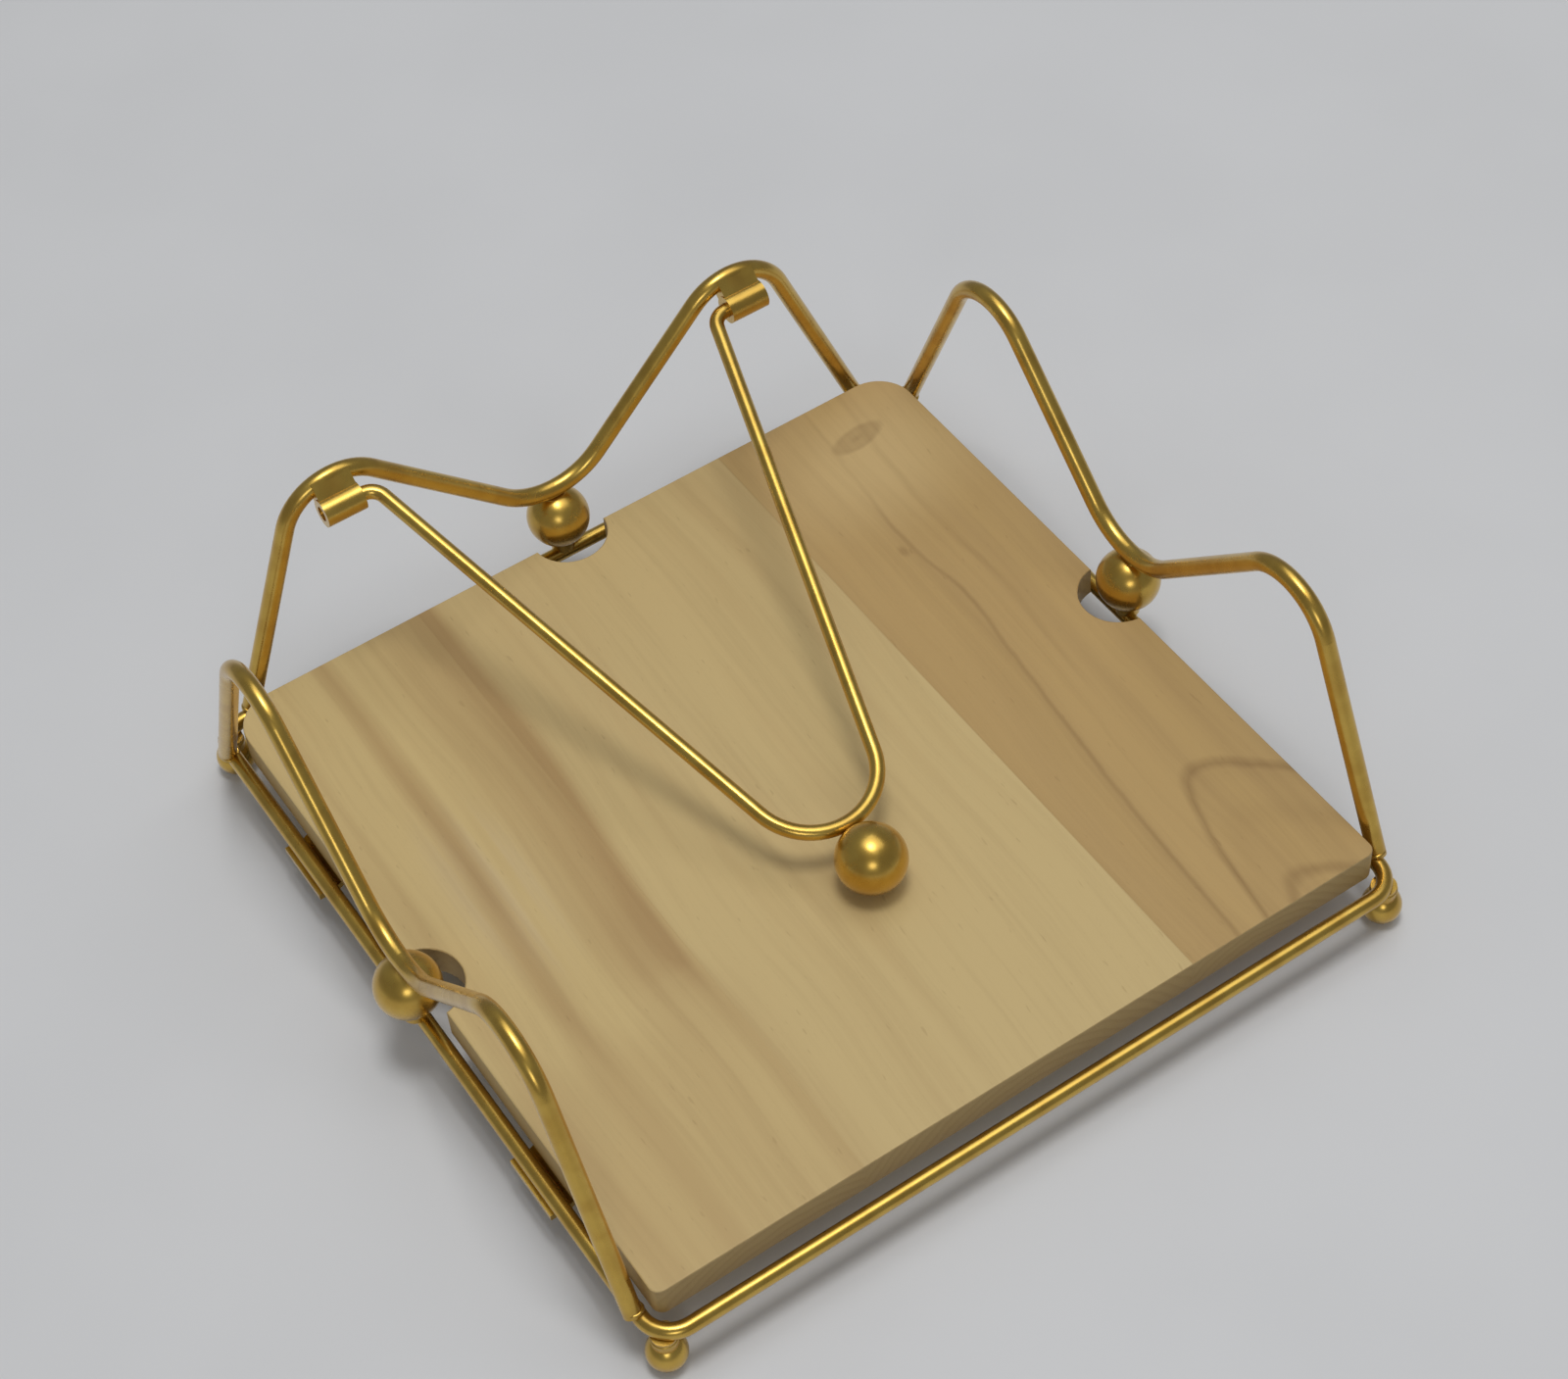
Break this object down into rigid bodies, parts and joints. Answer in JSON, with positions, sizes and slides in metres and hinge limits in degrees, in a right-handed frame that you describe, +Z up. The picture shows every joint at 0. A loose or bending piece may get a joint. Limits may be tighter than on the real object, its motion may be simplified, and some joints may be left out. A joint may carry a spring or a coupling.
{
  "type": "napkin holder",
  "caption": "Square wooden napkin tray in a gold zigzag wire frame, with a hinged wire arm whose ball weighs the napkins down.",
  "frame": {"origin": "on the table, under the middle of the holder's box", "axes": "+Z up, +X to the right as seen from the open front, -Y towards the open front, +Y towards the hinges"},
  "size_m": [0.2022, 0.1994, 0.0723],
  "materials": {
    "wood_board": "thin matt oil over fine grain",
    "gold_wire": "polished gold lacquer over steel wire",
    "screw_steel": "zinc plated"
  },
  "bodies": {
    "frame": {"base_board": "wood_board", "base_ring": "gold_wire", "back_side_wire": "gold_wire", "left_side_wire": "gold_wire", "right_side_wire": "gold_wire", "back_side_ball": "gold_wire", "left_side_ball": "gold_wire", "right_side_ball": "gold_wire", "foot_front_left": "gold_wire", "foot_front_right": "gold_wire", "foot_back_left": "gold_wire", "foot_back_right": "gold_wire", "board_lug_front_left": "gold_wire", "board_lug_front_right": "gold_wire", "board_lug_back_left": "gold_wire", "board_lug_back_right": "gold_wire", "board_screw_front_left": "screw_steel", "board_screw_front_right": "screw_steel", "board_screw_back_left": "screw_steel", "board_screw_back_right": "screw_steel", "hinge_sleeve_left": "gold_wire", "hinge_sleeve_right": "gold_wire"},
    "arm": {"press_arm": "gold_wire", "arm_ball": "gold_wire"}
  },
  "joints": [
    {"name": "arm_swing", "type": "hinge", "parent": "frame", "child": "arm", "pos_m": [0, 0.08747, 0.06485], "axis": [-1, 0, 0], "range_deg": [0, 124]}
  ]
}
